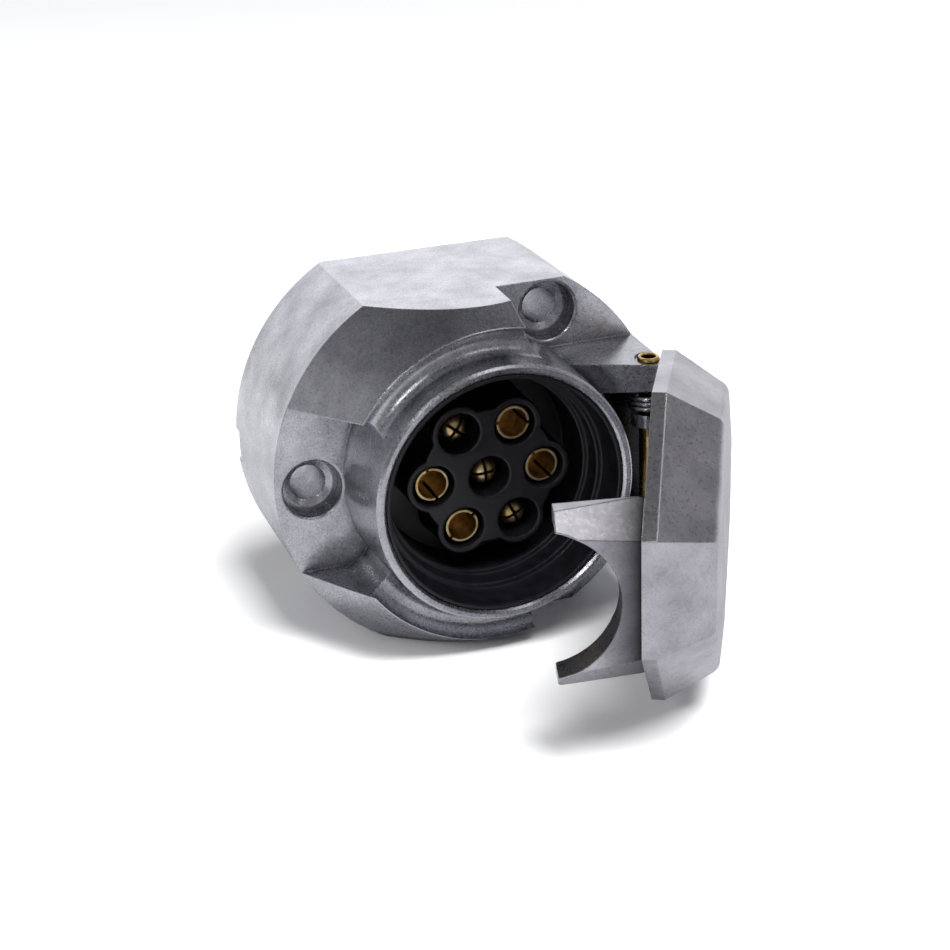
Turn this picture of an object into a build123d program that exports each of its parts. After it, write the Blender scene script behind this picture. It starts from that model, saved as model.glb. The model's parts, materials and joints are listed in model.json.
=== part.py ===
"""Vehicle-side socket for a seven-way trailer plug, with its hinged lid half open.

All sizes are millimetres. The socket faces -Y and lies on its lower flat, Z is up and X points
to the hinge. The origin is the centre of the mounting circle, on the rear mounting face.
"""

import os
from math import cos, radians, sin, tan

from build123d import *

os.makedirs("parts", exist_ok=True)

# Housing outside. A height is measured forward from the mounting face, a drop back from the rim.
rim_height = 45.2
body_r = 36.85
flat_half = 31.85
collar_bore_r = 22.0
collar_wall = 1.75
collar_draft = 2.5
shoulder_front_r = 29.0
shoulder_front_drop = 3.1
shoulder_round = 0.8
groove_top_drop = 4.6
groove_bottom_drop = 6.6
pocket_floor_drop = 17.4
edge_round = 0.5

# Housing inside
casting_wall = 2.6
floor_wall = 4.0
tube_wall = 2.6
seat_drop = 22.0
carrier_screw_out = 2.6
carrier_boss_r = 3.4
carrier_screw_depth = 7.0
carrier_screw_end_gap = 1.0

# Pockets for the mounting screws
left_pocket_half = 15.6
left_pocket_inner_x = 20.7
left_pocket_corner_r = 4.2
wall_foot_x = 5.5
wall_middle = (6.3, 28.1)
wall_end = (9.6, 22.3)
pocket_draft = 2.5

# Mounting screw holes
mount_circle_r = 30.0
mount_count = 3
mount_hole_r = 3.2
mount_head_r = 5.25
mount_head_depth = 3.1
mount_cone_r = 4.4
mount_cone_depth = 0.7
mount_edge_round = 0.6
mount_boss_r = 5.4

# Hinge ears
hinge_x = 30.0
hinge_drop = 7.0
ear_inner = 12.8
ear_foot = 19.4
ear_draft = 6.5
ear_root_x = 15.2
ear_root_drop = 10.0
ear_tip_inset = 2.0
ear_tip_drop = 4.9
ear_outer_reach = 3.0
ear_round = 3.0
ear_seat = 18.0
ear_seat_r = 2.5
recess_floor_drop = 12.8
hinge_hole_r = 1.75

# Drain notch in the rear edge
notch_width = 6.0
notch_depth = 3.0

# Clearances
hinge_clearance = 0.05
carrier_clearance = 0.1
contact_clearance = 0.05
screw_clearance = 0.05
collar_clearance = 0.5
overshoot = 1.0
knuckle_gap = 0.3
seal_gap = 0.3

# Contact carrier
core_face_drop = 9.4
contact_circle_r = 10.4
contact_count = 6
contact_hole_r = 3.85
core_lobe_r = 4.95
core_disc_r = 12.6
web_front_drop = 23.5
web_rear_drop = 27.0
channel_floor_drop = 20.0
carrier_front_drop = 0.5
liner_mouth_wall = 0.8
liner_step_wall = 1.3
liner_step_drop = 6.8
liner_ledge_wall = 2.4
liner_ledge_drop = 10.6
liner_bore_wall = 3.4
flange_thickness = 3.5
flange_lug_r = 3.8

# Contacts
sleeve_r = 3.15
sleeve_bore_r = 2.65
sleeve_drop = 10.4
sleeve_bore_depth = 11.0
sleeve_slot_depth = 8.0
sleeve_tip_round = 0.2
pin_r = 2.45
pin_drop = 11.2
pin_slot_depth = 7.0
pin_tip_round = 2.0
slot_width = 0.6
contact_flange_r = 3.8
contact_flange_thickness = 1.4
tail_length = 9.5
wire_bore_r = 1.7
wire_bore_depth = 8.0
terminal_screw_back = 5.0

# Screws
small_screw_r = 1.45
terminal_head_r = 2.1
terminal_head_height = 1.8
carrier_head_r = 2.9
carrier_head_height = 2.0
driver_slot_width = 0.7
driver_slot_depth = 0.8

# Hinge pin, a hollow rivet
rivet_bore_r = 1.3
rivet_ring_r = 2.0
rivet_ring_height = 0.65

# Lid, drawn from the hinge axis: along it to the free end and out through its face
lid_open_angle = 59.7
lid_rim_offset = 4.2
lid_near_end = 4.2
lid_far_reach = 28.6
lid_half_width = 27.6
lid_corner_cut = 17.4
lid_band = 2.3
lid_height = 11.3
lid_taper = 30.7
lid_roof = 2.3
lid_edge_round = 2.2
seal_thickness = 1.6
seal_outer_inset = 0.85
seal_lap = 2.4
lid_cavity_inset = 0.8
lid_cavity_lean = 2.6
knuckle_r = 3.2
lug_inner = 5.9
lug_width = 2.5
arm_top = 6.0
arm_reach = 1.2

# Retaining fork on the lid's free end
fork_face_reach = 26.9
fork_thickness = 3.4
fork_lean = 12.8
fork_reach = 13.5
fork_root_gap = 0.1
fork_tip_gap = 0.5
fork_cut_r = 12.8
fork_cut_centre = 16.2
fork_root_depth = 2.0
fork_tip_round = 1.0
fork_blend_reach = 2.8
fork_blend_inset = 0.3
fork_bevel_spread = 17.0

# Lid spring
spring_wire_r = 0.44
spring_leg_r = 0.43
spring_coil_r = 3.3
spring_turns = 3.25
spring_housing_leg = 7.0
spring_lid_leg = 3.4
spring_end_gap = 0.25

# Values worked out from the sizes above
collar_r = collar_bore_r + collar_wall
floor_height = rim_height - pocket_floor_drop
seat_height = rim_height - seat_drop
tube_r = collar_bore_r + tube_wall
hinge_height = rim_height - hinge_drop
ear_tip_x = hinge_x - ear_tip_inset
ear_outer_x = hinge_x + ear_outer_reach
carrier_screw_circle_r = tube_r + carrier_screw_out
liner_mouth_r = collar_bore_r - liner_mouth_wall
liner_step_r = collar_bore_r - liner_step_wall
liner_ledge_r = collar_bore_r - liner_ledge_wall
liner_bore_r = collar_bore_r - liner_bore_wall
lid_far_end = hinge_x + lid_far_reach
seal_outer_r = collar_r - seal_outer_inset
seal_inner_r = collar_bore_r - seal_lap
lid_cavity_r = collar_bore_r - lid_cavity_inset
lid_cavity_top_r = lid_cavity_r - lid_cavity_lean
fork_face_u = hinge_x + fork_face_reach
fork_root_half = left_pocket_half - fork_root_gap
fork_tip_half = left_pocket_half - fork_tip_gap
collar_foot_r = collar_r + pocket_floor_drop * tan(radians(collar_draft))
pin_body_r = hinge_hole_r - hinge_clearance
swing = radians(lid_open_angle)

# The section plane reads radius across and height up. The front planes read X across and Z up.
section = Plane(origin=(0, 0, 0), x_dir=(1, 0, 0), z_dir=(0, 0, -1))
turning_axis = Axis((0, 0, 0), (0, 1, 0))
lid_plane = Plane(
    origin=(hinge_x, -hinge_height, 0),
    x_dir=(-cos(swing), -sin(swing), 0),
    z_dir=(sin(swing), -cos(swing), 0),
)
lid_rim = lid_plane.offset(lid_rim_offset)


def front(height):
    """Plane across the socket at a height in front of the mounting face."""
    return Plane.XZ.offset(height)


def place(circle_r, angle):
    """X and Z of a point on a circle round the socket axis."""
    return circle_r * cos(radians(angle)), circle_r * sin(radians(angle))


def axis_section(x, z):
    """Section plane through an axis that runs fore and aft at X, Z."""
    return Plane(origin=(x, 0, z), x_dir=(1, 0, 0), z_dir=(0, 0, -1))


def fore_axis(x, z):
    """Axis that runs fore and aft at X, Z."""
    return Axis((x, 0, z), (0, 1, 0))


def finish(shape, name):
    """Label a finished piece and write its file."""
    shape.label = name
    export_step(shape, f"parts/{name}.step")


def pocket_plan(grow):
    """Plan of the screw pockets, left and right, grown by a wall for the casting core."""
    with BuildSketch() as plan:
        reach = body_r + overshoot
        with Locations((-left_pocket_inner_x - reach / 2, 0)):
            RectangleRounded(
                reach + 2 * grow,
                2 * (left_pocket_half + grow),
                left_pocket_corner_r + grow,
            )
        with BuildLine():
            top = flat_half + grow + overshoot
            ends = []
            for side in (1, -1):
                corner = (wall_foot_x - grow, side * top)
                foot = (wall_foot_x - grow, side * (flat_half + grow))
                middle = (wall_middle[0] - grow, side * wall_middle[1])
                ends.append((wall_end[0] - grow, side * (wall_end[1] - grow)))
                Polyline((reach, 0), (reach, side * top), corner, foot)
                ThreePointArc(foot, middle, ends[-1])
            Line(*ends)
        make_face()
    return plan.sketch_local


# Core of the casting: the room behind the shoulder, round the carrier tube and the bosses
with BuildPart() as casting_core:
    shoulder_slope = (pocket_floor_drop - shoulder_front_drop) / (body_r - shoulder_front_r)
    core_r = body_r - casting_wall
    core_top = rim_height - groove_bottom_drop - casting_wall
    core_corner_drop = pocket_floor_drop + casting_wall / 2
    core_top_r = core_r - (core_top - rim_height + core_corner_drop) / shoulder_slope
    with BuildSketch(section):
        with BuildLine():
            Polyline(
                (0, -overshoot),
                (core_r, -overshoot),
                (core_r, rim_height - core_corner_drop),
                (core_top_r, core_top),
                (tube_r, core_top),
                (tube_r, seat_height),
                (0, seat_height),
                close=True,
            )
        make_face()
    revolve(axis=turning_axis)
    with BuildSketch(front(-overshoot)):
        Rectangle(2 * body_r, 2 * (flat_half - casting_wall))
    extrude(amount=rim_height, mode=Mode.INTERSECT)
    with BuildSketch(front(floor_height - floor_wall)):
        add(pocket_plan(casting_wall))
    extrude(amount=rim_height, mode=Mode.SUBTRACT)
    with BuildSketch(front(-overshoot)):
        with PolarLocations(mount_circle_r, mount_count, start_angle=180 / mount_count):
            Circle(mount_boss_r)
    extrude(amount=rim_height, mode=Mode.SUBTRACT)
    with BuildSketch(front(seat_height)):
        with PolarLocations(carrier_screw_circle_r, mount_count):
            Circle(carrier_boss_r)
    extrude(amount=rim_height, mode=Mode.SUBTRACT)

# Hinge block, parted into two ears once it is on the housing
with BuildPart() as ear_block:
    with BuildSketch(front(floor_height - overshoot)):
        with Locations((body_r + ear_root_x - ear_round, 0)):
            Rectangle(2 * body_r, 2 * ear_foot)
    extrude(amount=pocket_floor_drop, taper=ear_draft)
    with BuildSketch(section) as ear_profile:
        with BuildLine():
            front_slope = (ear_root_drop - ear_tip_drop) / (ear_tip_x - ear_root_x)
            root_height = rim_height - ear_root_drop
            Polyline(
                (0, 0),
                (0, root_height - front_slope * ear_root_x),
                (ear_outer_x, root_height + front_slope * (ear_outer_x - ear_root_x)),
                (ear_outer_x, 0),
                close=True,
            )
        make_face()
        fillet(ear_profile.vertices().sort_by(Axis.Y)[0], ear_round)
    extrude(amount=flat_half, both=True, mode=Mode.INTERSECT)

# Room of the screw pockets, with the mould's draft, round the drafted collar
with BuildPart() as pocket_cutter:
    with BuildSketch(front(floor_height)):
        add(pocket_plan(0))
    extrude(amount=pocket_floor_drop + overshoot, taper=-pocket_draft)
    with BuildSketch(section):
        with BuildLine():
            draft = tan(radians(collar_draft))
            Polyline(
                (0, floor_height - overshoot),
                (collar_foot_r + draft * overshoot, floor_height - overshoot),
                (collar_r - 2 * draft * overshoot, rim_height + 2 * overshoot),
                (0, rim_height + 2 * overshoot),
                close=True,
            )
        make_face()
    revolve(axis=turning_axis, mode=Mode.SUBTRACT)

with BuildPart() as housing:
    # Turned form: wall, shoulder, groove and collar
    with BuildSketch(section) as turned_form:
        with BuildLine():
            groove_inner_r = collar_r + groove_top_drop * tan(radians(collar_draft))
            groove_middle_r = (groove_inner_r + shoulder_front_r) / 2
            Polyline(
                (groove_inner_r, rim_height - groove_top_drop),
                (collar_r, rim_height - edge_round),
                (collar_r - edge_round, rim_height),
                (0, rim_height),
                (0, 0),
                (body_r, 0),
                (body_r, floor_height),
                (shoulder_front_r, rim_height - shoulder_front_drop),
            )
            ThreePointArc(
                (groove_inner_r, rim_height - groove_top_drop),
                (groove_middle_r, rim_height - groove_bottom_drop),
                (shoulder_front_r, rim_height - shoulder_front_drop),
            )
        make_face()
        front_edge = (shoulder_front_r, -(rim_height - shoulder_front_drop), 0)
        fillet(turned_form.vertices().sort_by_distance(front_edge)[0], shoulder_round)
    revolve(axis=turning_axis)
    add(pocket_cutter.part, mode=Mode.SUBTRACT)
    add(ear_block.part)
    with BuildSketch(front(-overshoot)):
        Circle(body_r)
        Rectangle(2 * body_r, 2 * flat_half, mode=Mode.INTERSECT)
    extrude(amount=rim_height + 2 * overshoot, mode=Mode.INTERSECT)
    # Recess between the ears
    with BuildSketch(front(rim_height - recess_floor_drop)):
        with Locations((body_r, 0)):
            Rectangle(2 * (body_r - ear_root_x), 2 * ear_inner)
        Circle(collar_foot_r, mode=Mode.SUBTRACT)
    extrude(amount=rim_height, mode=Mode.SUBTRACT)
    # Inside
    add(casting_core.part, mode=Mode.SUBTRACT)
    with BuildSketch(section):
        with BuildLine():
            Polyline(
                (0, seat_height - overshoot),
                (collar_bore_r, seat_height - overshoot),
                (collar_bore_r, rim_height - edge_round),
                (collar_bore_r + edge_round, rim_height),
                (0, rim_height),
                close=True,
            )
        make_face()
    revolve(axis=turning_axis, mode=Mode.SUBTRACT)
    # Screw holes
    for number in range(mount_count):
        x, z = place(mount_circle_r, 180 + 360 / mount_count * number)
        head_foot = floor_height - mount_head_depth
        with BuildSketch(axis_section(x, z)):
            with BuildLine():
                Polyline(
                    (0, -overshoot),
                    (mount_hole_r, -overshoot),
                    (mount_hole_r, head_foot - mount_cone_depth),
                    (mount_cone_r, head_foot),
                    (mount_head_r, head_foot),
                    (mount_head_r, floor_height - mount_edge_round),
                )
                ThreePointArc(
                    (mount_head_r, floor_height - mount_edge_round),
                    (mount_head_r + 0.3 * mount_edge_round, floor_height - 0.3 * mount_edge_round),
                    (mount_head_r + mount_edge_round, floor_height),
                )
                Polyline(
                    (mount_head_r + mount_edge_round, floor_height),
                    (mount_head_r + mount_edge_round, floor_height + overshoot),
                    (0, floor_height + overshoot),
                    (0, -overshoot),
                )
            make_face()
        revolve(axis=fore_axis(x, z), mode=Mode.SUBTRACT)
    with BuildSketch(front(seat_height)):
        with PolarLocations(carrier_screw_circle_r, mount_count):
            Circle(small_screw_r + screw_clearance)
    extrude(amount=carrier_screw_depth, mode=Mode.SUBTRACT)
    # Hinge hole, with a flat seat for the rivet on each ear
    with BuildSketch(Plane.XY) as hinge_hole:
        with Locations((hinge_x, -hinge_height)):
            Circle(hinge_hole_r)
    extrude(amount=flat_half, both=True, mode=Mode.SUBTRACT)
    for side in (1, -1):
        with BuildSketch(Plane.XY.offset(side * ear_seat)):
            with Locations((hinge_x, -hinge_height)):
                Circle(ear_seat_r)
        extrude(amount=side * ear_foot, mode=Mode.SUBTRACT)
    # Drain notch
    with BuildSketch(front(0)):
        with Locations((-body_r, 0)):
            Rectangle(4 * casting_wall, notch_width)
    extrude(amount=notch_depth, mode=Mode.SUBTRACT)

finish(housing.part, "housing")

# Contact carrier: liner, core with its seven holes, web and seat flange in one moulding
with BuildPart() as contact_carrier:
    with BuildSketch(section):
        with BuildLine():
            carrier_r = collar_bore_r - carrier_clearance
            Polyline(
                (0, rim_height - channel_floor_drop),
                (liner_bore_r, rim_height - channel_floor_drop),
                (liner_bore_r, rim_height - liner_ledge_drop),
                (liner_ledge_r, rim_height - liner_ledge_drop),
                (liner_ledge_r, rim_height - liner_step_drop),
                (liner_step_r, rim_height - liner_step_drop),
                (liner_mouth_r, rim_height - carrier_front_drop),
                (carrier_r, rim_height - carrier_front_drop),
                (carrier_r, seat_height),
                (tube_r, seat_height),
                (tube_r, seat_height - flange_thickness),
                (0, seat_height - flange_thickness),
                close=True,
            )
        make_face()
    revolve(axis=turning_axis)
    with BuildSketch(front(seat_height)):
        with PolarLocations(carrier_screw_circle_r, mount_count):
            Circle(flange_lug_r)
            with Locations((-flange_lug_r, 0)):
                Rectangle(2 * flange_lug_r, 2 * flange_lug_r)
    extrude(amount=-flange_thickness)
    with BuildSketch(front(rim_height - web_rear_drop)):
        Circle(core_disc_r)
        with PolarLocations(contact_circle_r, contact_count):
            Circle(core_lobe_r)
    extrude(amount=web_rear_drop - core_face_drop)
    with BuildSketch(front(rim_height - web_front_drop)):
        Circle(contact_hole_r)
        with PolarLocations(contact_circle_r, contact_count):
            Circle(contact_hole_r)
    extrude(amount=rim_height, mode=Mode.SUBTRACT)
    with BuildSketch(front(0)):
        Circle(sleeve_r + contact_clearance)
        with PolarLocations(contact_circle_r, contact_count):
            Circle(sleeve_r + contact_clearance)
    extrude(amount=rim_height, mode=Mode.SUBTRACT)
    with BuildSketch(front(0)):
        with PolarLocations(carrier_screw_circle_r, mount_count):
            Circle(small_screw_r + screw_clearance)
    extrude(amount=rim_height, mode=Mode.SUBTRACT)

finish(contact_carrier.part, "contact_carrier")

flange_foot = rim_height - web_front_drop
tail_end = rim_height - web_rear_drop - tail_length


def turned_contact(x, z, outline, tip_round, slots, slot_top, slot_depth):
    """Brass contact turned about its own axis, slit from the front and drilled for its wire."""
    with BuildPart() as contact:
        with BuildSketch(axis_section(x, z)):
            with BuildLine():
                Polyline(*outline, close=True)
            make_face()
        revolve(axis=fore_axis(x, z))
        fillet(contact.edges().sort_by(Axis.Y)[0], tip_round)
        for turn in slots:
            across = (cos(radians(turn)), 0, sin(radians(turn)))
            slit = Plane(origin=(x, 0, z), x_dir=across, z_dir=(0, -1, 0))
            with BuildSketch(slit.offset(slot_top - slot_depth)):
                Rectangle(3 * sleeve_r, slot_width)
            extrude(amount=2 * slot_depth, mode=Mode.SUBTRACT)
        with BuildSketch(front(tail_end)):
            with Locations((x, z)):
                Circle(wire_bore_r)
        extrude(amount=wire_bore_depth, mode=Mode.SUBTRACT)
    return contact.part


def terminal_hole(x, z, angle):
    """Plane across a terminal screw, on its contact's axis and facing out at an angle."""
    out = (cos(radians(angle)), 0, sin(radians(angle)))
    return Plane(origin=(x, -tail_end - terminal_screw_back, z), x_dir=(0, 1, 0), z_dir=out)


tail_outline = [
    (0, tail_end),
    (sleeve_r, tail_end),
    (sleeve_r, flange_foot),
    (contact_flange_r, flange_foot),
    (contact_flange_r, flange_foot + contact_flange_thickness),
]
sleeve_top = rim_height - sleeve_drop
sleeve_outline = tail_outline + [
    (sleeve_r, flange_foot + contact_flange_thickness),
    (sleeve_r, sleeve_top),
    (sleeve_bore_r, sleeve_top),
    (sleeve_bore_r, sleeve_top - sleeve_bore_depth),
    (0, sleeve_top - sleeve_bore_depth),
]
pin_top = rim_height - pin_drop
pin_outline = tail_outline + [
    (pin_r, flange_foot + contact_flange_thickness),
    (pin_r, pin_top),
    (0, pin_top),
]
sleeve_slots = {0: -57, 60: -7, 180: -75, 240: 40}
pin_slots = {120: (50, 140), 300: (25, 115), None: (5, 95)}

contacts = []
for angle, turn in sleeve_slots.items():
    contacts.append(("contact_sleeve", *place(contact_circle_r, angle), angle, sleeve_outline, [turn]))
for angle, turns in pin_slots.items():
    spot = (0, 0) if angle is None else place(contact_circle_r, angle)
    contacts.append(("contact_pin", *spot, 90 if angle is None else angle, pin_outline, turns))

made = {"contact_sleeve": 0, "contact_pin": 0}
for number, (kind, x, z, angle, outline, turns) in enumerate(contacts, start=1):
    hollow = kind == "contact_sleeve"
    top = sleeve_top if hollow else pin_top
    depth = sleeve_slot_depth if hollow else pin_slot_depth
    blank = turned_contact(x, z, outline, sleeve_tip_round if hollow else pin_tip_round, turns, top, depth)
    with BuildPart() as contact:
        add(blank)
        with BuildSketch(terminal_hole(x, z, angle)):
            Circle(small_screw_r + screw_clearance)
        extrude(amount=2 * sleeve_r, mode=Mode.SUBTRACT)
    made[kind] += 1
    finish(contact.part, f"{kind}_{made[kind]}")
    with BuildPart() as terminal_screw:
        with BuildSketch(terminal_hole(x, z, angle).offset(wire_bore_r + screw_clearance)):
            Circle(small_screw_r)
        extrude(amount=sleeve_r - wire_bore_r)
        with BuildSketch(terminal_hole(x, z, angle).offset(sleeve_r)):
            Circle(terminal_head_r)
        extrude(amount=terminal_head_height)
        with BuildSketch(terminal_hole(x, z, angle).offset(sleeve_r + terminal_head_height)):
            Rectangle(3 * terminal_head_r, driver_slot_width)
        extrude(amount=-driver_slot_depth, mode=Mode.SUBTRACT)
    finish(terminal_screw.part, f"terminal_screw_{number}")

# Screws that hold the carrier's flange against its seat
for number in range(mount_count):
    x, z = place(carrier_screw_circle_r, 360 / mount_count * number)
    under_head = seat_height - flange_thickness
    with BuildPart() as carrier_screw:
        with BuildSketch(front(under_head)):
            with Locations((x, z)):
                Circle(small_screw_r)
        extrude(amount=flange_thickness + carrier_screw_depth - carrier_screw_end_gap)
        with BuildSketch(front(under_head)):
            with Locations((x, z)):
                Circle(carrier_head_r)
        extrude(amount=-carrier_head_height)
        chamfer(carrier_screw.edges().sort_by(Axis.Y)[-1], carrier_head_height / 4)
        with BuildSketch(front(under_head - carrier_head_height)):
            with Locations((x, z)):
                Rectangle(3 * carrier_head_r, driver_slot_width)
        extrude(amount=driver_slot_depth, mode=Mode.SUBTRACT)
    finish(carrier_screw.part, f"carrier_screw_{number + 1}")

# Hollow rivet that the lid turns on
with BuildPart() as hinge_pin:
    with BuildSketch(Plane.XZ.offset(hinge_height)) as rivet_profile:
        ring_top = ear_seat + rivet_ring_height
        with BuildLine():
            Polyline(
                (hinge_x + rivet_bore_r, -ring_top),
                (hinge_x + rivet_ring_r, -ring_top),
                (hinge_x + rivet_ring_r, -ear_seat),
                (hinge_x + pin_body_r, -ear_seat),
                (hinge_x + pin_body_r, ear_seat),
                (hinge_x + rivet_ring_r, ear_seat),
                (hinge_x + rivet_ring_r, ring_top),
                (hinge_x + rivet_bore_r, ring_top),
                close=True,
            )
        make_face()
    revolve(axis=Axis((hinge_x, -hinge_height, 0), (0, 0, 1)))
    for end in (0, -1):
        bead = hinge_pin.faces().sort_by(Axis.Z)[end]
        fillet(bead.edges(), 0.45 * (rivet_ring_r - rivet_bore_r))

finish(hinge_pin.part, "hinge_pin")

# Lid: octagonal cup, hinge lugs and the fork that holds a plug in
lid_normal = Axis(lid_plane.origin, lid_plane.z_dir)
entry_depth = hinge_drop - lid_rim_offset + seal_gap
seat_depth = entry_depth + seal_thickness
cavity_origin = lid_plane.from_local_coords((hinge_x, 0, lid_rim_offset))
cavity_section = Plane(origin=cavity_origin, x_dir=lid_plane.x_dir, z_dir=-lid_plane.y_dir)
cavity_axis = Axis(cavity_origin, lid_plane.z_dir)
hinge_section = Plane(origin=lid_plane.origin, x_dir=lid_plane.x_dir, z_dir=-lid_plane.y_dir)
lean = radians(fork_lean)
fork_down = lid_plane.x_dir * sin(lean) - lid_plane.z_dir * cos(lean)
fork_plane = Plane(
    origin=lid_plane.from_local_coords((fork_face_u, 0, lid_rim_offset)),
    x_dir=(0, 0, 1),
    z_dir=Vector(0, 0, 1).cross(fork_down),
)


def lid_outline():
    """Octagon of the lid, drawn along its own axis."""
    with BuildSketch() as outline:
        with Locations(((lid_near_end + lid_far_end) / 2, 0)):
            Rectangle(lid_far_end - lid_near_end, 2 * lid_half_width)
        chamfer(outline.vertices(), lid_corner_cut)
    return outline.sketch_local


def on_fork(down):
    """Point of the hinge section on the fork's outer face, at a distance down from the lid's rim."""
    return fork_face_u + down * sin(lean), lid_rim_offset - down * cos(lean)


# The lid's octagon, up into its band and spreading down, which bevels the fork's outer edges
with BuildPart() as fork_limit:
    for depth, spread in ((fork_root_depth, 0), (-fork_reach - overshoot, -fork_bevel_spread)):
        with BuildSketch(lid_rim):
            add(lid_outline())
        extrude(amount=depth, taper=spread)

with BuildPart() as fork:
    with BuildSketch(fork_plane) as fork_outline:
        with BuildLine():
            Polyline(
                (-fork_root_half, -fork_root_depth),
                (fork_root_half, -fork_root_depth),
                (fork_root_half, 0),
                (fork_tip_half, fork_reach),
                (-fork_tip_half, fork_reach),
                (-fork_root_half, 0),
                close=True,
            )
        make_face()
        with Locations((0, fork_cut_centre)):
            Circle(fork_cut_r, mode=Mode.SUBTRACT)
        fillet(fork_outline.vertices().group_by(Axis((0, 0, 0), fork_down))[-1], fork_tip_round)
    extrude(fork_outline.sketch, amount=-fork_thickness)
    extrude(fork_outline.sketch, amount=fork_blend_reach)
    # Hollow blend from the outer face up to the lid's edge
    with BuildSketch(hinge_section):
        with BuildLine():
            blend_top = (lid_far_end - fork_blend_inset, lid_rim_offset)
            tip = on_fork(fork_reach + overshoot)
            TangentArc(on_fork(fork_blend_reach), blend_top, tangent=(-sin(lean), cos(lean)))
            Polyline(
                blend_top,
                (blend_top[0], lid_rim_offset + fork_root_depth),
                (fork_face_u - 2 * fork_thickness, lid_rim_offset + fork_root_depth),
                (fork_face_u - 2 * fork_thickness, tip[1]),
                tip,
                on_fork(fork_blend_reach),
            )
        make_face()
    extrude(amount=lid_half_width, both=True, mode=Mode.INTERSECT)
    add(fork_limit.part, mode=Mode.INTERSECT)

with BuildPart() as lid:
    with BuildSketch(lid_rim):
        add(lid_outline())
    extrude(amount=lid_band)
    with BuildSketch(lid_rim.offset(lid_band)):
        add(lid_outline())
    extrude(amount=lid_height - lid_band, taper=lid_taper)
    fillet(lid.faces().sort_by(lid_normal)[-1].edges(), lid_edge_round)
    add(fork.part)
    # Room for the collar, the seal and the plug
    with BuildSketch(cavity_section):
        with BuildLine():
            Polyline(
                (0, -2 * fork_reach),
                (collar_foot_r + collar_clearance, -2 * fork_reach),
                (collar_foot_r + collar_clearance, 0),
                (collar_r + collar_clearance, 0),
                (collar_r + collar_clearance, entry_depth),
                (seal_outer_r, entry_depth),
                (seal_outer_r, seat_depth),
                (lid_cavity_r, seat_depth),
                (lid_cavity_top_r, lid_height - lid_roof),
                (0, lid_height - lid_roof),
                close=True,
            )
        make_face()
    revolve(axis=cavity_axis, mode=Mode.SUBTRACT)
    # Hinge lugs
    for lug_bottom in (lug_inner, knuckle_gap - ear_inner):
        with BuildSketch(hinge_section.offset(lug_bottom)):
            Circle(knuckle_r)
            with BuildLine():
                Polyline(
                    (0, knuckle_r),
                    (lid_near_end + arm_reach, lid_rim_offset + arm_top),
                    (lid_near_end + arm_reach, lid_rim_offset),
                    (knuckle_r, 0),
                    (0, 0),
                    close=True,
                )
            make_face()
        extrude(amount=lug_width)
    with BuildSketch(hinge_section.offset(-ear_inner)):
        Circle(hinge_hole_r)
    extrude(amount=2 * ear_inner, mode=Mode.SUBTRACT)

finish(lid.part, "lid")

with BuildPart() as lid_seal:
    with BuildSketch(cavity_section):
        with BuildLine():
            Polyline(
                (seal_inner_r, entry_depth),
                (seal_outer_r, entry_depth),
                (seal_outer_r, seat_depth),
                (seal_inner_r, seat_depth),
                close=True,
            )
        make_face()
    revolve(axis=cavity_axis)

finish(lid_seal.part, "lid_seal")

# Torsion spring round the rivet, between the upper lug and the upper ear
coil_bottom = lug_inner + lug_width + knuckle_gap + spring_wire_r
coil_top = ear_inner - spring_end_gap - spring_wire_r
with BuildPart() as lid_spring:
    with BuildLine() as coil_line:
        Helix(
            pitch=(coil_top - coil_bottom) / spring_turns,
            height=coil_top - coil_bottom,
            radius=spring_coil_r,
            center=(hinge_x, -hinge_height, coil_bottom),
        )
    with BuildSketch(Plane(origin=coil_line.line @ 0, z_dir=coil_line.line % 0)):
        Circle(spring_wire_r)
    sweep(path=coil_line.line, is_frenet=True)
    lid_end = Plane(origin=coil_line.line @ 0, z_dir=(0, -1, 0))
    housing_end = Plane(origin=coil_line.line @ 1, z_dir=(-1, 0, 0))
    for end, leg in ((lid_end, spring_lid_leg), (housing_end, spring_housing_leg)):
        with BuildSketch(end.offset(-spring_wire_r)):
            Circle(spring_leg_r)
        extrude(amount=spring_wire_r + leg)

finish(lid_spring.part, "lid_spring")
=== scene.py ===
# %% [markdown]
# Trailer socket with its lid half open
#
# The solid parts come from the CAD model, already in metres and in their places. This lesson gives
# each part the finish of the real one, sets up soft studio light, and puts the camera where the
# photographer stood. The box round the CAD parts is noted straight after loading, and the paper is
# laid at its bottom.

# %% Load the frame
import json
from math import cos, radians, sin

import bpy
from mathutils import Euler, Matrix, Vector


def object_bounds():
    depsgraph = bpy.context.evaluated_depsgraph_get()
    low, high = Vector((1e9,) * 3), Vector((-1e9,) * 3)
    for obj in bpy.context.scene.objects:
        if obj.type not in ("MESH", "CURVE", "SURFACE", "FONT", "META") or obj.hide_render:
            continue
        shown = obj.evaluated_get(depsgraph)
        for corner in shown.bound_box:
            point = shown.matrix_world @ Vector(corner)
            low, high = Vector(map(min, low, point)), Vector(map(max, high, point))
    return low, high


MM = 0.001
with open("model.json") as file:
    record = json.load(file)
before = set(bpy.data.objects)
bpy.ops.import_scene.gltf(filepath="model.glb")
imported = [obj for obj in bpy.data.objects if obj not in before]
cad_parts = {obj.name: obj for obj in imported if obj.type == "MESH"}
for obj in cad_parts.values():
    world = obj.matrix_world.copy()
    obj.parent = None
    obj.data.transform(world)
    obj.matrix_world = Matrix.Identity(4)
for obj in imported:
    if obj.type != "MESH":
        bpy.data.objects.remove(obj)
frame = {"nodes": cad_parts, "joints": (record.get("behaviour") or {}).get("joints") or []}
cad_box = [list(corner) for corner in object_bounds()]
nodes = frame["nodes"]
print("nodes:", len(nodes), "box from", cad_box[0], "to", cad_box[1])

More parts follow.
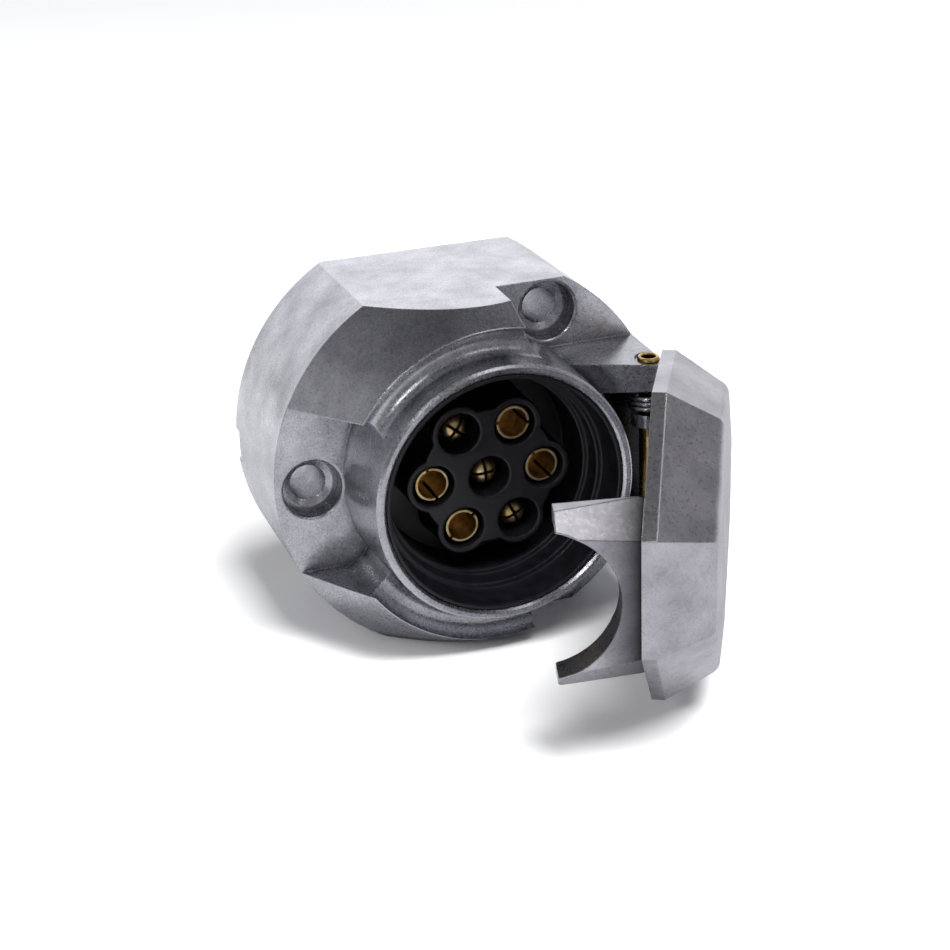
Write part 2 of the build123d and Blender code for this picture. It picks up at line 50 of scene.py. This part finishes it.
# %% [markdown]
# Colours and nodes
#
# A colour picked from a picture is an sRGB hex value, but a shader works in linear light, so one
# function turns one into the other. Nodes could be added, set and linked one line at a time, but
# then a material fills a page. One more function does all of it in one call, so each material stays
# short enough to read from top to bottom.


# %% Colour and node helpers
def linear(hex_colour):
    """Turns an sRGB hex colour into the linear RGBA that a shader wants."""
    channels = [int(hex_colour[i : i + 2], 16) / 255 for i in (1, 3, 5)]
    return [c / 12.92 if c <= 0.04045 else ((c + 0.055) / 1.055) ** 2.4 for c in channels] + [1.0]


def grey(level):
    """Linear RGBA of a plain grey, which darkens the colour that it multiplies."""
    return [level, level, level, 1.0]


def add_node(tree, kind, inputs=None, stops=None, **settings):
    """Adds a node with its settings, the stops of its colour ramp, and its inputs.

    An input gets a value or a link: from an output, or from a node, which means its first output.
    """
    made = tree.nodes.new("ShaderNode" + kind)
    for name, value in settings.items():
        setattr(made, name, value)
    for index, (position, colour) in enumerate((stops or {}).items()):
        made.color_ramp.elements[index].position = position
        made.color_ramp.elements[index].color = colour
    for socket, value in (inputs or {}).items():
        source = value.outputs[0] if isinstance(value, bpy.types.Node) else value
        if isinstance(source, bpy.types.NodeSocket):
            tree.links.new(source, made.inputs[socket])
        else:
            made.inputs[socket].default_value = source
    return made


def start_material(name):
    """Makes an empty material, and returns it with its tree and a point's place on the part."""
    material = bpy.data.materials.new(name)
    material.use_nodes = True
    tree = material.node_tree
    tree.nodes.clear()
    return material, tree, add_node(tree, "TexCoord").outputs["Object"]


def finish_material(tree, finish):
    """Closes a material with a surface that has these inputs."""
    surface = add_node(tree, "BsdfPrincipled", finish)
    add_node(tree, "OutputMaterial", {"Surface": surface})


print("white turns into", linear("#ffffff")[:3], "and mid grey into", round(linear("#808080")[0], 3))

# %% [markdown]
# Patterns from millimetres
#
# A noise node wants to know how many features fit in a metre, but a finish is known by its real
# size, so the size in millimetres is turned over. A noise also stays near the middle of 0 to 1, so
# each use of it says which part of that range turns into which values.


# %% Pattern helpers
def features(place, size_mm, detail, roughness=0.5):
    """Inputs of a noise whose features are this many millimetres across."""
    return {"Vector": place, "Scale": 1 / (size_mm * MM), "Detail": detail, "Roughness": roughness}


def spread(value, low, high, first, last):
    """Inputs of a map range that turns low to high into first to last."""
    return {"Value": value, "From Min": low, "From Max": high, "To Min": first, "To Max": last}


print("features of 0.5 mm need a scale of", round(1 / (0.5 * MM)))

# %% [markdown]
# Cast aluminium
#
# The housing and the lid are die castings that were tumbled with small stones and never painted.
# The skin is a light grey with a fine grain of about half a millimetre, small dark specks, and faint
# cloudy patches a few millimetres wide where the metal flowed. A picture of a casting could be
# wrapped round the parts, but it would stretch on their slanting walls, and noises don't. Three
# noises do this: the cloudy one tints the colour, the grain roughens and bumps the surface, and the
# finest one makes the specks.
#
# Tumbling wears every sharp edge, so a bevel node bends the light round the edges, and an ambient
# occlusion node paints shade into the corners, where little light reaches. Aluminium is a bare metal,
# so metallic is 1 and the IOR stays as it is. Each casting also gets a painted shade of its own, made
# in the next two steps.

# %% Cast aluminium
# A mix node has a set of sockets for each kind of data, all with the same names, so they are picked
# by number: 6 and 7 are the two colours, and output 2 is the mixed colour.
FIRST_COLOUR = 6
SECOND_COLOUR = 7
MIXED_COLOUR = 2
as_product = {"data_type": "RGBA", "blend_type": "MULTIPLY"}
grain_share = 0.3


def cast_aluminium(name, dark, light, grain_mm, rough, speck_shade, painted_shade):
    """Tumbled bare casting between two hex greys, with painted shade in its corners."""
    material, tree, place = start_material(name)
    clouds = add_node(tree, "TexNoise", features(place, size_mm=7, detail=4, roughness=0.6))
    grain = add_node(tree, "TexNoise", features(place, size_mm=grain_mm, detail=2, roughness=0.55))
    specks = add_node(tree, "TexNoise", features(place, size_mm=0.3, detail=1, roughness=0.6))
    open_air = add_node(tree, "AmbientOcclusion", {"Distance": 3 * MM}, samples=8).outputs["AO"]

    mottled = add_node(tree, "Math", {0: grain, 1: grain_share, 2: clouds}, operation="MULTIPLY_ADD")
    skin = add_node(tree, "ValToRGB", {"Fac": mottled}, {0.38: linear(dark), 0.92: linear(light)})
    # The specks are the casting's own; the occlusion ramp and the last shade are painted shade.
    shades = [
        add_node(tree, "ValToRGB", {"Fac": specks}, {0.3: grey(speck_shade), 0.5: grey(1.0)}),
        add_node(tree, "ValToRGB", {"Fac": open_air}, {0.35: grey(0.3), 0.85: grey(1.0)}),
        painted_shade(tree, place),
    ]
    for shade in shades:
        layers = {"Factor": 1.0, FIRST_COLOUR: skin, SECOND_COLOUR: shade}
        skin = add_node(tree, "Mix", layers, **as_product).outputs[MIXED_COLOUR]

    worn_edges = add_node(tree, "Bevel", {"Radius": 0.35 * MM}, samples=6)
    flow = {"Height": clouds, "Strength": 0.3, "Distance": 0.25 * MM, "Normal": worn_edges}
    waves = add_node(tree, "Bump", flow)
    pits = {"Height": grain, "Strength": 0.22, "Distance": 0.06 * MM, "Normal": waves}
    finish = {
        "Base Color": skin,
        "Metallic": 1.0,
        "Roughness": add_node(tree, "MapRange", spread(grain, 0.3, 0.7, rough - 0.04, rough + 0.06)),
        "Normal": add_node(tree, "Bump", pits),
    }
    finish_material(tree, finish)
    return material


print("defined", cast_aluminium.__name__)

# %% [markdown]
# Painted shade behind the hinge
#
# The recess behind the hinge lies in deep shade, so its colour is painted nearly black as shade. It
# could be painted on by hand, but the recess is a plain box in the housing, so a mask does it: the
# place of a point is measured from the middle of the box in half widths, and where none of the three
# is over 1 the point is inside.

# %% Painted shade in the recess
recess_middle = (30.5, -37.0, 0.0)
recess_half = (7.0, 5.5, 12.9)
inside_to_wall = (0.94, 1.0)
recess_shade_level = 0.05


def paint_recess_shade(tree, place):
    """Painted shade: nearly black inside the recess, and white elsewhere."""
    box = {
        "Vector": place,
        "Location": [-middle / half for middle, half in zip(recess_middle, recess_half)],
        "Scale": [1 / (half * MM) for half in recess_half],
    }
    apart = add_node(tree, "VectorMath", {0: add_node(tree, "Mapping", box)}, operation="ABSOLUTE")
    sides = add_node(tree, "SeparateXYZ", {"Vector": apart}).outputs
    wider = add_node(tree, "Math", {0: sides["X"], 1: sides["Y"]}, operation="MAXIMUM")
    widest = add_node(tree, "Math", {0: wider, 1: sides["Z"]}, operation="MAXIMUM")
    # These greys paint the shade: nearly black inside the box, unchanged outside it.
    greys = (grey(recess_shade_level), grey(1.0))
    return add_node(tree, "ValToRGB", {"Fac": widest}, dict(zip(inside_to_wall, greys)))


# The printed box is where the shade is painted.
print("painted_recess_shade in a box of", [2 * half for half in recess_half], "mm")

# %% [markdown]
# Shade at the fork's root
#
# The corner where the fork grows out of the lid gets painted shade, darkest right at the lid. The
# painted shade from occlusion reaches only a few millimetres, so this darker corner gets its own mask.
# A point is measured from the hinge in two directions that turn with the lid: down the fork, and
# along the lid to its free end. Past a certain reach everything below the rim is fork. The angle of
# the open lid and the place of the hinge come from the frame.

# %% Shade at the root
lid_hinge = next(joint for joint in frame["joints"] if joint["name"] == "lid_hinge")
lid_open = radians(-lid_hinge["range_deg"][0])
down_the_fork = (-sin(lid_open), cos(lid_open), 0.0)
to_free_end = (-cos(lid_open), -sin(lid_open), 0.0)
fork_reach = 50 * MM
fork_top = -4.15 * MM
dark_at = -4.1 * MM
clear_at = 3.4 * MM
root_shade = 0.04
# The sockets of a mix node that takes plain numbers.
FIRST_NUMBER = 2
SECOND_NUMBER = 3


def fork_root_shade(tree, place):
    """Painted shade: nearly black where the fork leaves the lid, and white off the fork."""
    from_hinge = add_node(tree, "VectorMath", {0: place, 1: lid_hinge["pos_m"]}, operation="SUBTRACT")
    depth, reach = [
        add_node(tree, "VectorMath", {0: from_hinge, 1: way}, operation="DOT_PRODUCT").outputs["Value"]
        for way in (down_the_fork, to_free_end)
    ]
    past_cup = add_node(tree, "Math", {0: reach, 1: fork_reach}, operation="GREATER_THAN")
    below_rim = add_node(tree, "Math", {0: depth, 1: fork_top}, operation="GREATER_THAN")
    on_fork = add_node(tree, "Math", {0: past_cup, 1: below_rim}, operation="MULTIPLY")
    shade = add_node(tree, "MapRange", spread(depth, dark_at, clear_at, root_shade, 1.0))
    return add_node(tree, "Mix", {"Factor": on_fork, FIRST_NUMBER: 1.0, SECOND_NUMBER: shade})


print("the lid stands", -lid_hinge["range_deg"][0], "degrees open, on a hinge at", lid_hinge["pos_m"])

# %% [markdown]
# The two castings
#
# One function makes both skins. The lid is a little darker and warmer than the housing, and its
# specks are fainter, so each casting gets its own greys.

# %% The two castings
# The last argument of each casting is a painted shade: the recess for the housing, the fork's root for the
# lid.
housing_skin = cast_aluminium(
    "tumbled_cast_aluminium_housing",
    dark="#a2a2a9",
    light="#d8d8dc",
    grain_mm=0.55,
    rough=0.28,
    speck_shade=0.72,
    painted_shade=paint_recess_shade,
)
lid_skin = cast_aluminium(
    "tumbled_cast_aluminium_lid",
    dark="#9d9ba1",
    light="#cfcdd1",
    grain_mm=0.6,
    rough=0.3,
    speck_shade=0.9,
    painted_shade=fork_root_shade,
)
print("made", housing_skin.name, "and", lid_skin.name)

# %% [markdown]
# Black moulded insulator
#
# The contact carrier is moulded from a black glass-filled nylon. Out of the mould it is half glossy:
# light slides along the ring in long soft arcs. One even gloss would do from afar, but close up it
# looks like glass, so a very faint orange peel about two millimetres wide breaks up the arcs.


# %% Black nylon
def moulded_nylon(name):
    """Half-glossy black nylon with soft edges."""
    material, tree, place = start_material(name)
    peel = add_node(tree, "TexNoise", features(place, size_mm=2.2, detail=2))
    blacks = {0.3: linear("#0b0b0f"), 0.7: linear("#131318")}
    soft_edges = add_node(tree, "Bevel", {"Radius": 0.8 * MM}, samples=8)
    swell = {"Height": peel, "Strength": 0.08, "Distance": 0.1 * MM, "Normal": soft_edges}
    finish = {
        "Base Color": add_node(tree, "ValToRGB", {"Fac": peel}, blacks),
        "Roughness": add_node(tree, "MapRange", spread(peel, 0.3, 0.7, 0.32, 0.42)),
        "IOR": 1.53,
        "Normal": add_node(tree, "Bump", swell),
    }
    finish_material(tree, finish)
    return material


insulator = moulded_nylon("black_moulded_nylon")
print("made", insulator.name)

# %% [markdown]
# Turned brass
#
# The contacts are turned from brass rod, so fine rings run round them, and the rivet is pressed from
# brass tube. Handling dulls brass to a deeper brown in patches. The tool marks could be cut as real
# grooves, but at 0.2 mm apart they only show in how the light breaks, so a stretched noise stands
# for them: squeezed along Y, the way the tool moved, it draws thin rings. Where the brass is sheltered
# an ambient occlusion node paints shade into it, most of all on the rivet's shaft inside the hinge.

# %% Brass
ring_stretch = (0.15, 1.0, 0.15)


def brass(name, dull, bright, rough, sheltered_shade_level):
    """Brass between two hex colours, with tool rings, tarnish and painted shade where it is sheltered."""
    material, tree, place = start_material(name)
    stretched = add_node(tree, "Mapping", {"Vector": place, "Scale": ring_stretch}).outputs[0]
    rings = add_node(tree, "TexNoise", features(stretched, size_mm=0.2, detail=1))
    tarnish = add_node(tree, "TexNoise", features(place, size_mm=1.8, detail=3))
    open_air = add_node(tree, "AmbientOcclusion", {"Distance": 7 * MM}, samples=8).outputs["AO"]

    metal = add_node(tree, "ValToRGB", {"Fac": tarnish}, {0.38: linear(bright), 0.64: linear(dull)})
    # Painted shade, darkest where the brass is sheltered.
    painted_shelter_shade = add_node(tree, "ValToRGB", {"Fac": open_air}, {0.2: grey(sheltered_shade_level), 0.8: grey(1.0)})
    layers = {"Factor": 1.0, FIRST_COLOUR: metal, SECOND_COLOUR: painted_shelter_shade}
    grooves = {"Height": rings, "Strength": 0.18, "Distance": 0.03 * MM}
    finish = {
        "Base Color": add_node(tree, "Mix", layers, **as_product).outputs[MIXED_COLOUR],
        "Metallic": 1.0,
        "Roughness": add_node(tree, "MapRange", spread(tarnish, 0.35, 0.7, rough, rough + 0.14)),
        "Normal": add_node(tree, "Bump", grooves),
    }
    finish_material(tree, finish)
    return material


contact_brass = brass("turned_brass_contacts", "#cfae76", "#e6cf9f", rough=0.3, sheltered_shade_level=0.9)
rivet_brass = brass("pressed_brass_rivet", "#b8924e", "#e6c983", rough=0.24, sheltered_shade_level=0.1)
print("made", contact_brass.name, "and", rivet_brass.name)

# %% [markdown]
# Steel and rubber
#
# The spring is drawn steel wire, wet with oil. The screws are zinc plated, lighter and a little
# bluish. The seal is soft black rubber with a dull, dusty skin. All of them are small or half
# hidden, so one noise that mottles the colour is enough for each.


# %% Steel and rubber
def steel(name, dark, light, rough):
    """Bare or plated steel, mottled between two hex greys."""
    material, tree, place = start_material(name)
    mottle = add_node(tree, "TexNoise", features(place, size_mm=0.8, detail=3))
    colour = add_node(tree, "ValToRGB", {"Fac": mottle}, {0.35: linear(dark), 0.65: linear(light)})
    finish_material(tree, {"Base Color": colour, "Metallic": 1.0, "Roughness": rough})
    return material


def dusty_rubber(name):
    """Dull black rubber with dust on it."""
    material, tree, place = start_material(name)
    dust = add_node(tree, "TexNoise", features(place, size_mm=1.2, detail=4))
    colour = add_node(tree, "ValToRGB", {"Fac": dust}, {0.4: linear("#111113"), 0.7: linear("#232326")})
    finish_material(tree, {"Base Color": colour, "Roughness": 0.75})
    return material


spring_wire = steel("oiled_spring_steel", "#77777b", "#c4c4c8", rough=0.24)
zinc_plate = steel("zinc_plated_steel", "#9fa3a8", "#c9ccd0", rough=0.32)
seal_rubber = dusty_rubber("soft_black_rubber")
print("made", spring_wire.name, zinc_plate.name, seal_rubber.name)

# %% [markdown]
# Put each finish on its part
#
# Every CAD node keeps its shape and only gets a better material, so one table of names does it. A
# piece that comes more than once has a number after its name.

# %% Assign the materials
finishes = {
    "housing": housing_skin,
    "lid": lid_skin,
    "contact_carrier": insulator,
    "contact_sleeve": contact_brass,
    "contact_pin": contact_brass,
    "hinge_pin": rivet_brass,
    "lid_spring": spring_wire,
    "lid_seal": seal_rubber,
    "terminal_screw": zinc_plate,
    "carrier_screw": zinc_plate,
}
for name, part in nodes.items():
    key = name if name in finishes else name.rsplit("_", 1)[0]
    part.data.materials.clear()
    part.data.materials.append(finishes[key])
print("finished", len(nodes), "nodes with", len(set(finishes.values())), "materials")

# %% [markdown]
# White paper
#
# The photograph was taken on white paper. The paper is a large matte plane just under the socket.
# The camera sees it white. Every other ray sees a greyer sheet with painted light that is darker in
# front and lighter behind, so the metal mirrors a floor that seems to catch more light behind the
# socket.

# %% Paper
paper_side = 6.0
paper_turns_light = 0.22
bpy.ops.mesh.primitive_plane_add(size=paper_side, location=(0, 0, cad_box[0][2]))
paper = bpy.context.object
paper.name = "paper_floor"
paper_white, tree, place = start_material("matte_white_paper")
behind = add_node(tree, "SeparateXYZ", {"Vector": place}).outputs["Y"]
# Painted light: the sheet grows lighter towards the back.
greyed = {0.0: linear("#c0c0c4"), paper_turns_light: linear("#f0f0f2")}
sheet = {
    "Factor": add_node(tree, "LightPath").outputs["Is Camera Ray"],
    FIRST_COLOUR: add_node(tree, "ValToRGB", {"Fac": behind}, greyed),
    SECOND_COLOUR: linear("#f8f8f9"),
}
colour = add_node(tree, "Mix", sheet, data_type="RGBA").outputs[MIXED_COLOUR]
finish_material(tree, {"Base Color": colour, "Roughness": 0.9, "Specular IOR Level": 0.1})
paper.data.materials.append(paper_white)
print("laid", paper.name, "at", round(paper.location.z / MM, 2), "mm")

# %% [markdown]
# Sky
#
# Bare metal shows what it mirrors, so the sky is made three times. The camera sees plain white,
# matte surfaces get a weak even light from all round, and metal mirrors a sky that is brightest low
# down at the back, a little dimmer to either side, and dark overhead. So the top flat and the round
# wall look bright, and the shoulder dark. A picture of a real studio could do the same, but three
# plain ramps are easier to aim.

# %% Sky
brightest_x = 0.25
loss_aside = -0.6
best_aside = 1.05
sweep_strength = 1.35
least_strength = 0.14
room_strength = 0.22

world = bpy.data.worlds.new("studio")
bpy.context.scene.world = world
world.use_nodes = True
tree = world.node_tree
tree.nodes.clear()
look = add_node(tree, "TexCoord").outputs["Generated"]
way = add_node(tree, "SeparateXYZ", {"Vector": look}).outputs

# A way is 1 long, so its Z is 0 at the horizon and 1 overhead, and its Y is 1 straight behind.
low_sky = add_node(tree, "MapRange", spread(way["Z"], 0.45, 0.85, 1.0, 0.0))
rear_sky = add_node(tree, "MapRange", spread(way["Y"], -0.5, 0.82, 0.12, 1.0))
low_and_rear = add_node(tree, "Math", {0: low_sky, 1: rear_sky}, operation="MULTIPLY")
aside = add_node(tree, "Math", {0: way["X"], 1: brightest_x}, operation="SUBTRACT")
either_side = add_node(tree, "Math", {0: aside}, operation="ABSOLUTE")
side_sky = add_node(tree, "Math", {0: either_side, 1: loss_aside, 2: best_aside}, operation="MULTIPLY_ADD")
sweep = add_node(tree, "Math", {0: low_and_rear, 1: side_sky}, operation="MULTIPLY")
strengths = {0: sweep, 1: sweep_strength, 2: least_strength}
glow = add_node(tree, "Math", strengths, operation="MULTIPLY_ADD")

seen = add_node(tree, "Background", {"Color": linear("#ffffff"), "Strength": 1.0})
room = add_node(tree, "Background", {"Color": linear("#f2f4f8"), "Strength": room_strength})
mirrored = add_node(tree, "Background", {"Color": linear("#f6f6fa"), "Strength": glow})
rays = add_node(tree, "LightPath").outputs
unseen = add_node(tree, "MixShader", {0: rays["Is Diffuse Ray"], 1: mirrored, 2: room})
chosen = add_node(tree, "MixShader", {0: rays["Is Camera Ray"], 1: unseen, 2: seen})
add_node(tree, "OutputWorld", {"Surface": chosen})
print("made the", world.name, "sky from", len(tree.nodes), "nodes")

# %% [markdown]
# Lamps
#
# One large soft lamp, high in front, lights the paper and casts the shadow, and a weak one on the
# left fills that shadow. In the metal they would be two hard patches, so metal doesn't mirror them.
# Two small panels do the opposite, and only metal shows them: one as the bright line along the rim
# and the fork, and one as the spot on the lid's corner.

# %% Lamps
lit_middle = Vector((0, -30, 0)) * MM


def soft_panel(name, place, side, watts, in_mirrors):
    """Square lamp turned to the socket, which lights either what is matte or what mirrors."""
    lamp = bpy.data.lights.new(name, "AREA")
    lamp.shape = "SQUARE"
    lamp.size = side
    lamp.energy = watts
    panel = bpy.data.objects.new(name, lamp)
    bpy.context.scene.collection.objects.link(panel)
    panel.location = place
    panel.rotation_euler = (Vector(place) - lit_middle).to_track_quat("Z", "Y").to_euler()
    panel.visible_camera = False
    panel.visible_glossy = in_mirrors
    panel.visible_diffuse = not in_mirrors
    return panel


panels = [
    soft_panel("key_softbox", (0.15, -1.15, 2.2), side=0.9, watts=82.0, in_mirrors=False),
    soft_panel("glint_panel", (0.27, -0.55, 0.86), side=0.38, watts=1.0, in_mirrors=True),
    soft_panel("spark_panel", (-0.5, -0.64, 0.62), side=0.14, watts=0.8, in_mirrors=True),
    soft_panel("left_fill", (-0.9, -0.45, 0.55), side=0.6, watts=5.0, in_mirrors=False),
]
print("lamps:", [panel.name for panel in panels])

# %% [markdown]
# Camera
#
# The camera could be moved by hand until the picture fits, but here it was solved from the
# photograph: the rim's ellipse, the mounting holes, the flats and the rear edge fix where it stood
# and which way it looked. The lens points a little below and to the right of the socket, and the
# shift moves the picture's window back up and to the left.

# %% Camera
# The three angles are in degrees, and at 0 a camera looks straight down.
camera_place = Vector((-102.23, -318.964, 130.748)) * MM
tipped_up = 63.003
leaned = 0.932
turned = -23.435
camera_data = bpy.data.cameras.new("photo_camera")
camera_data.lens = 69.92
camera_data.sensor_width = 36.0
camera_data.shift_x = -0.1143
camera_data.shift_y = 0.1182
camera_data.clip_start = 0.01
camera = bpy.data.objects.new("photo_camera", camera_data)
bpy.context.scene.collection.objects.link(camera)
facing = Euler([radians(angle) for angle in (tipped_up, leaned, turned)])
camera.matrix_world = Matrix.LocRotScale(camera_place, facing, None)
bpy.context.scene.camera = camera
bpy.context.scene.view_settings.view_transform = "Standard"
print("camera at", [round(v, 3) for v in camera.location])
